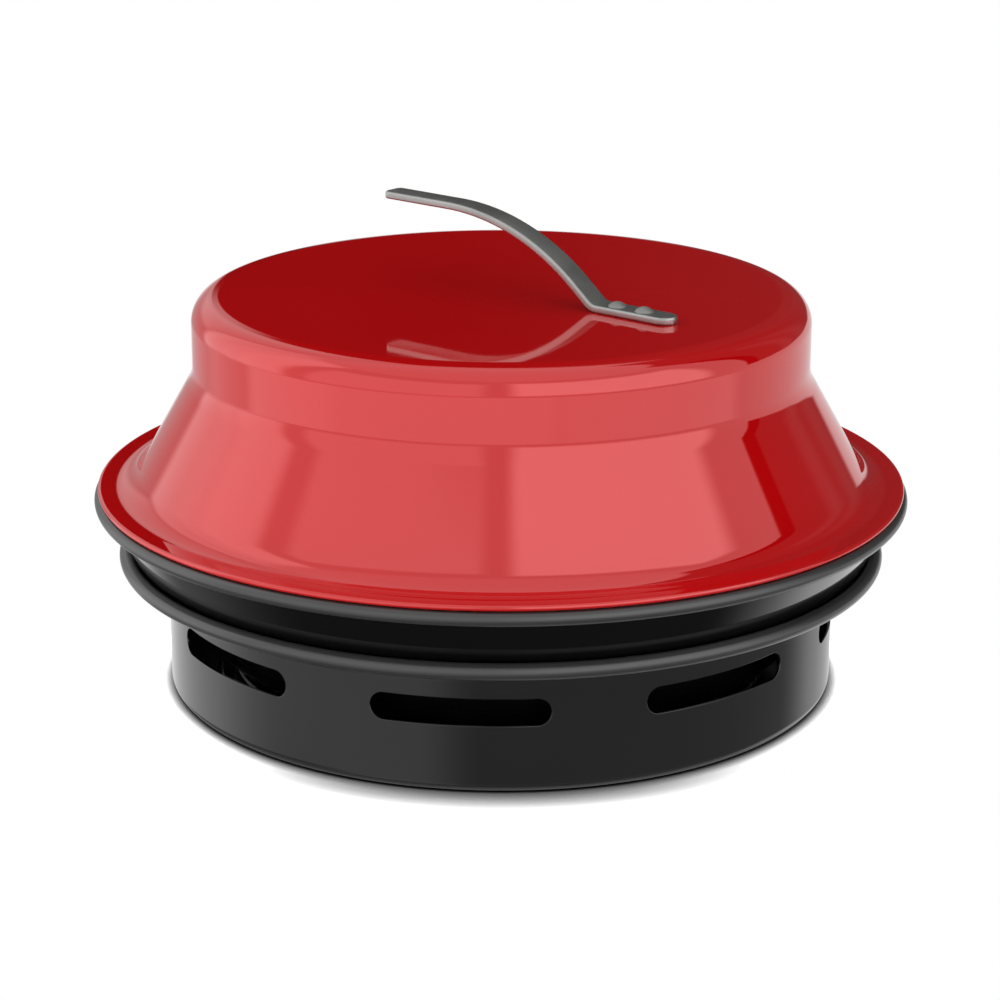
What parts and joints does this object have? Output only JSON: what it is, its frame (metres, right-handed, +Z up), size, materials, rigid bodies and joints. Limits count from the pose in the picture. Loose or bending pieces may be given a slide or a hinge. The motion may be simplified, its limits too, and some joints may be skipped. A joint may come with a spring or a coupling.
{
  "type": "tabletop charcoal barbecue",
  "caption": "Round portable charcoal cooker with a slotted base, fire bowl, wire grates and a stepped conical lid that lifts off by a bent steel strap.",
  "frame": {"origin": "centre of the standing face, on the ground", "axes": "+Z up along the cooker's axis, -Y towards the front, +X to the right"},
  "size_m": [0.352, 0.352, 0.2072],
  "materials": {
    "enamel_red": "high-gloss vitreous enamel",
    "enamel_black": "gloss vitreous enamel",
    "grate_chrome": "bright plated wire",
    "grate_wire": "plain drawn wire",
    "shield_steel": "bare sheet",
    "handle_steel": "semi-gloss plated strip",
    "fastener_steel": "zinc plated"
  },
  "bodies": {
    "base": {"base_shell": "enamel_black", "ash_shield": "shield_steel", "ash_shield_spacers": "shield_steel", "ash_shield_rivets": "shield_steel"},
    "fire_bowl": {"fire_bowl": "enamel_black"},
    "charcoal_grate": {"charcoal_grate_rim": "grate_wire", "charcoal_grate_bars": "grate_wire", "charcoal_grate_ties": "grate_wire"},
    "cooking_grate": {"cooking_grate_rim": "grate_chrome", "cooking_grate_bars": "grate_chrome", "cooking_grate_ties": "grate_chrome", "cooking_grate_loops": "grate_chrome"},
    "lid": {"lid_shell": "enamel_red", "lid_centring_strip": "enamel_red", "handle_strap": "handle_steel", "handle_screws": "fastener_steel", "handle_washers": "fastener_steel", "handle_nuts": "fastener_steel"}
  },
  "joints": [
    {"name": "fire_bowl_lift", "type": "slide", "parent": "base", "child": "fire_bowl", "axis": [0, 0, 1], "range_m": [0, 0.08]},
    {"name": "charcoal_grate_lift", "type": "slide", "parent": "fire_bowl", "child": "charcoal_grate", "axis": [0, 0, 1], "range_m": [0, 0.09]},
    {"name": "cooking_grate_lift", "type": "slide", "parent": "charcoal_grate", "child": "cooking_grate", "axis": [0, 0, 1], "range_m": [0, 0.08]},
    {"name": "lid_lift", "type": "slide", "parent": "cooking_grate", "child": "lid", "axis": [0, 0, 1], "range_m": [0, 0.12]}
  ]
}
